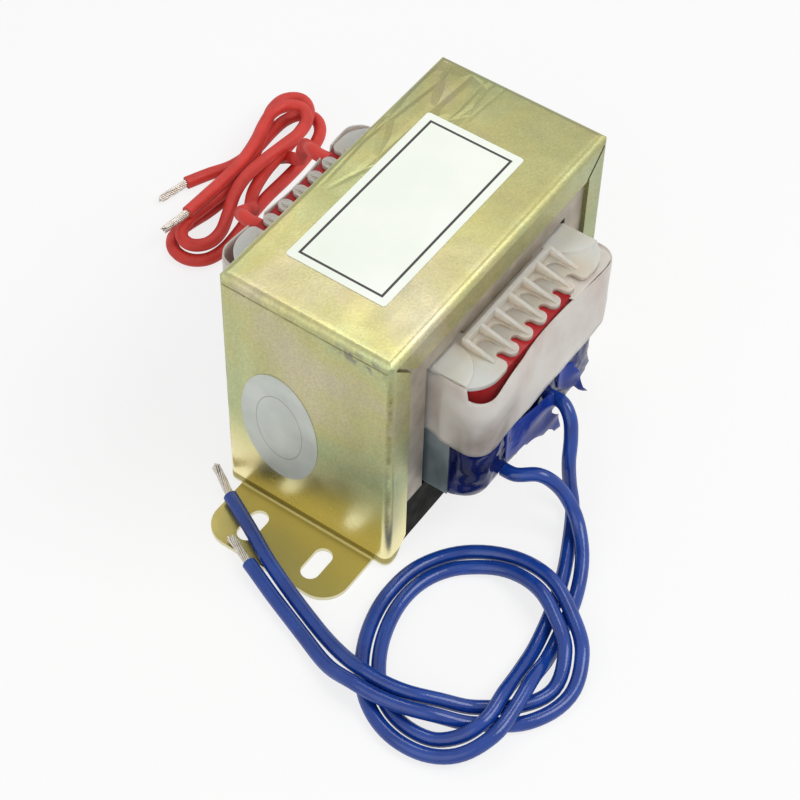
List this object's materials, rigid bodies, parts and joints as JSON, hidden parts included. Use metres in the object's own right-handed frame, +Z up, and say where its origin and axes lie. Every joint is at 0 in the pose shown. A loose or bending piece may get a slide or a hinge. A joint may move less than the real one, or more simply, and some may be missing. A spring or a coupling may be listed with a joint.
{
  "type": "chassis transformer",
  "caption": "Laminated mains transformer in a folded steel bracket with slotted feet, a split coil with a comb flange and loose red and blue wire leads.",
  "frame": {"origin": "middle of the four foot slots, on the plane that the feet stand on", "axes": "+X along the feet and the long side of the bracket, +Z up, -Y towards the end of the coil where the blue leads come out"},
  "size_m": [0.1541, 0.1773, 0.0746],
  "materials": {
    "bracket_steel": "yellow chromated, satin",
    "core_iron": "bare cut edges",
    "core_iron_dark": "varnished cut edges",
    "former_plastic": "milky, slightly translucent",
    "copper_wire": "enamelled copper",
    "red_tape": "gloss film",
    "splice_sleeve": "matt",
    "white_film": "milky, slightly translucent",
    "blue_tape": "gloss film",
    "liner_film": "thin clear film over iron",
    "label_paper": "white, semi-gloss",
    "sticker_foil": "silver, satin",
    "red_insulation": "soft PVC, semi-gloss",
    "tinned_strands": "tinned copper, dull",
    "blue_insulation": "soft PVC, semi-gloss"
  },
  "bodies": {
    "root": {"bracket": "bracket_steel", "e_laminations": "core_iron", "i_laminations": "core_iron_dark", "coil_former": "former_plastic", "primary_winding": "copper_wire", "primary_tape": "red_tape", "primary_splices": "splice_sleeve", "coil_wrap": "white_film", "secondary_winding": "copper_wire", "secondary_tape": "blue_tape", "secondary_splices": "splice_sleeve", "liner_left": "liner_film", "liner_right": "liner_film", "tape_tail_upper": "blue_tape", "tape_tail_lower": "blue_tape", "rating_label": "label_paper", "oval_sticker": "sticker_foil", "red_lead_1": "red_insulation", "red_lead_2": "red_insulation", "red_hank": "red_insulation", "red_lead_1_tail": "red_insulation", "red_lead_1_strands": "tinned_strands", "red_lead_2_strands": "tinned_strands", "blue_lead_1": "blue_insulation", "blue_lead_2": "blue_insulation", "blue_lead_1_strands": "tinned_strands", "blue_lead_2_strands": "tinned_strands"}
  },
  "joints": []
}
